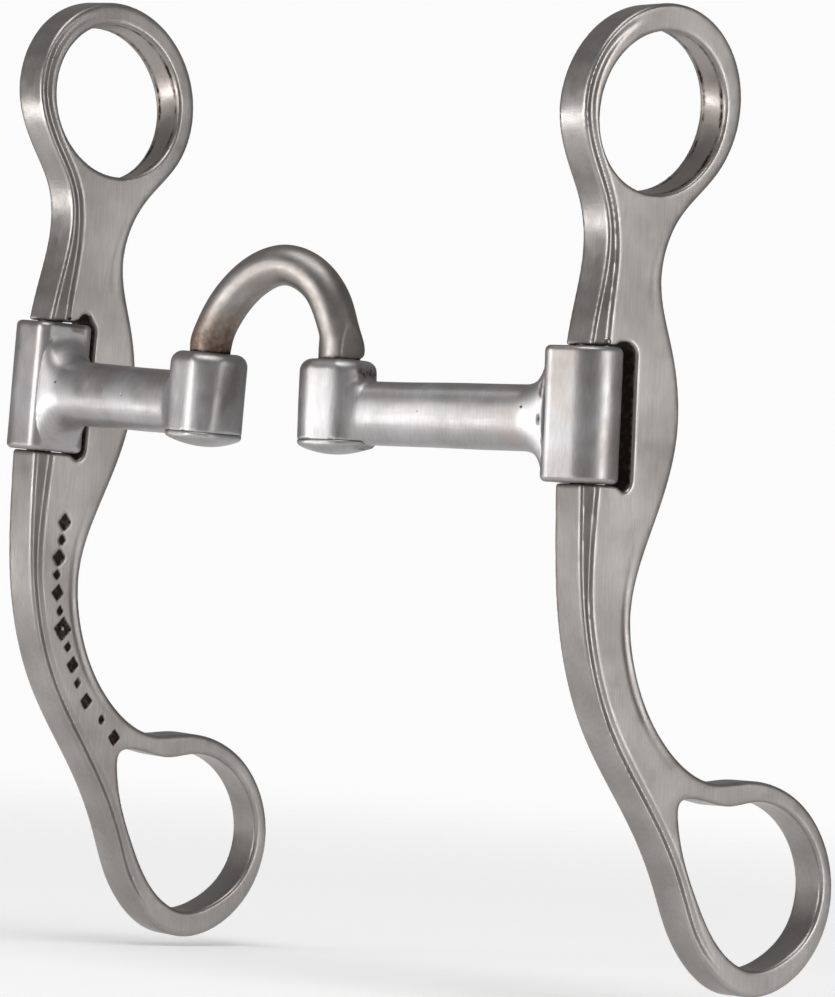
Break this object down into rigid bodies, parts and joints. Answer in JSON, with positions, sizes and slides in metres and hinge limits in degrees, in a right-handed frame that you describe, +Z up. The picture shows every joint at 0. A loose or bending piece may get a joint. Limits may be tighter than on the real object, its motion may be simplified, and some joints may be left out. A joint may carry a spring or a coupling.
{
  "type": "curb bit",
  "caption": "Loose-cheek curb bit: swept shanks with cheek rings and rein loops, folding mouth bars on hinge pins, and a bent-rod port.",
  "frame": {"origin": "midway between the two port legs, level with the axis of the mouth bars", "axes": "+X across the mouth to the viewer's right when the bit is seen from its front edges, +Y back towards the rein loops, +Z up towards the cheek rings"},
  "size_m": [0.1704, 0.091, 0.1903],
  "materials": {
    "shank_steel": "satin brushed, warm grey",
    "bar_steel": "satin polished, a little pitted",
    "port_steel": "satin with a brown heat tint at the foot",
    "pin_steel": "dull turned steel",
    "weld_metal": "ground weld"
  },
  "bodies": {
    "port": {"port": "port_steel", "left_port_collar": "pin_steel", "right_port_collar": "pin_steel"},
    "left_bar": {"left_mouth_bar": "bar_steel", "left_block_cap": "bar_steel", "left_barrel": "bar_steel"},
    "left_cheek": {"left_shank": "shank_steel", "left_hinge_pin": "pin_steel", "left_upper_weld": "weld_metal", "left_lower_weld": "weld_metal"},
    "right_bar": {"right_mouth_bar": "bar_steel", "right_block_cap": "bar_steel", "right_barrel": "bar_steel"},
    "right_cheek": {"right_shank": "shank_steel", "right_hinge_pin": "pin_steel", "right_upper_weld": "weld_metal", "right_lower_weld": "weld_metal"}
  },
  "joints": [
    {"name": "left_bar_fold", "type": "hinge", "parent": "port", "child": "left_bar", "pos_m": [-0.0145, 0, 0], "axis": [0.0262, 0, 0.9997], "range_deg": [-7, 88]},
    {"name": "left_shank_swivel", "type": "hinge", "parent": "left_bar", "child": "left_cheek", "pos_m": [-0.06325, 0.02071, 0.00218], "axis": [0.0262, 0, 0.9997], "range_deg": [-20, 90]},
    {"name": "right_bar_fold", "type": "hinge", "parent": "port", "child": "right_bar", "pos_m": [0.0145, 0, 0], "axis": [0.0262, 0, -0.9997], "range_deg": [-29.5, 65.5]},
    {"name": "right_shank_swivel", "type": "hinge", "parent": "right_bar", "child": "right_cheek", "pos_m": [0.06746, 0.00046, 0.00229], "axis": [0.0262, 0, -0.9997], "range_deg": [-45, 65]}
  ]
}
